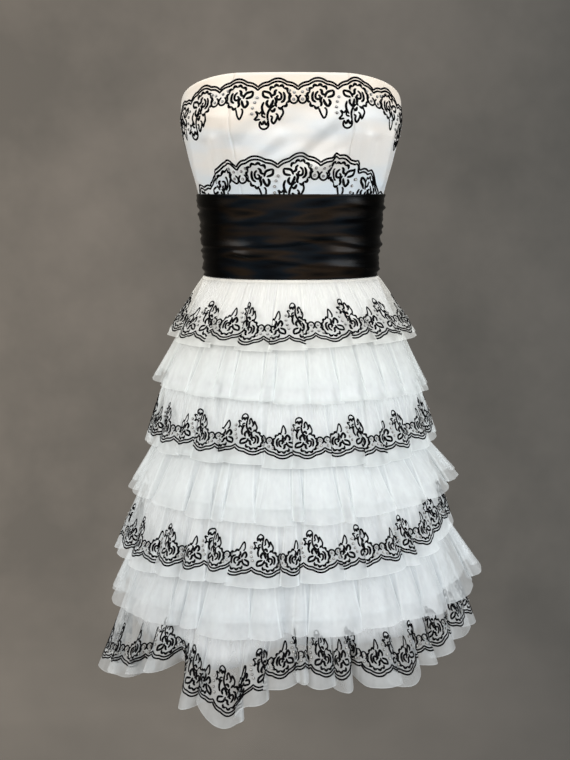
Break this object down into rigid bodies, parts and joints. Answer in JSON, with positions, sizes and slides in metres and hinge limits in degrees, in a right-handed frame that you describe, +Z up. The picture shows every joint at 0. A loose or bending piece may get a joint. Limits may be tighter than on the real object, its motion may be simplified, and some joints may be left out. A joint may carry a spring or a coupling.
{
  "type": "strapless evening dress",
  "caption": "Knee-length strapless evening dress: fitted satin bodice, wide folded cummerbund and a flared skirt of gathered tulle tiers, embroidered and plain by turns, with a back zip.",
  "frame": {"origin": "centre of the waist, level with the lower edge of the cummerbund, where the dress is held on its wearer", "axes": "+Z up along the body, -Y out of the front, +X towards the wearer's left"},
  "size_m": [0.559, 0.4766, 0.8393],
  "materials": {
    "white_satin": "soft sheen white satin under a sheer embroidered net overlay",
    "black_satin": "glossy black satin in soft horizontal folds",
    "white_lining": "opaque white lining with a slight sheen",
    "embroidered_tulle": "sheer white gathered tulle with a black corded border",
    "plain_tulle": "sheer white gathered tulle, two layers",
    "black_cord": "matt black corded embroidery thread",
    "grey_bead": "small pale grey beads and sequins",
    "zip_tape": "white woven zip tape",
    "zip_metal": "white enamelled zip slider and pull"
  },
  "bodies": {
    "dress": {"bodice_centre_front": "white_satin", "bodice_side_front_left": "white_satin", "bodice_side_front_right": "white_satin", "bodice_side_back_left": "white_satin", "bodice_side_back_right": "white_satin", "bodice_back_left": "white_satin", "bodice_back_right": "white_satin", "cummerbund_front": "black_satin", "cummerbund_back_left": "black_satin", "cummerbund_back_right": "black_satin", "inner_skirt_centre_front": "white_lining", "inner_skirt_side_front_left": "white_lining", "inner_skirt_side_front_right": "white_lining", "inner_skirt_side_back_left": "white_lining", "inner_skirt_side_back_right": "white_lining", "inner_skirt_back_left": "white_lining", "inner_skirt_back_right": "white_lining", "tier_1_embroidered_front": "embroidered_tulle", "tier_1_embroidered_back_left": "embroidered_tulle", "tier_1_embroidered_back_right": "embroidered_tulle", "tier_2_plain_front": "plain_tulle", "tier_2_plain_back_left": "plain_tulle", "tier_2_plain_back_right": "plain_tulle", "tier_3_embroidered_front": "embroidered_tulle", "tier_3_embroidered_back": "embroidered_tulle", "tier_4_plain_front": "plain_tulle", "tier_4_plain_back": "plain_tulle", "tier_5_embroidered_front": "embroidered_tulle", "tier_5_embroidered_back": "embroidered_tulle", "tier_6_plain_front": "plain_tulle", "tier_6_plain_back": "plain_tulle", "tier_7_embroidered_front": "embroidered_tulle", "tier_7_embroidered_back": "embroidered_tulle", "zip_chain": "zip_tape", "zip_slider": "zip_metal"},
    "zip_pull": {"zip_pull": "zip_metal"}
  },
  "joints": [
    {"name": "pull_swing", "type": "hinge", "parent": "dress", "child": "zip_pull", "pos_m": [0, 0.1084, 0.189], "axis": [1, 0, 0], "range_deg": [0, 150]}
  ]
}
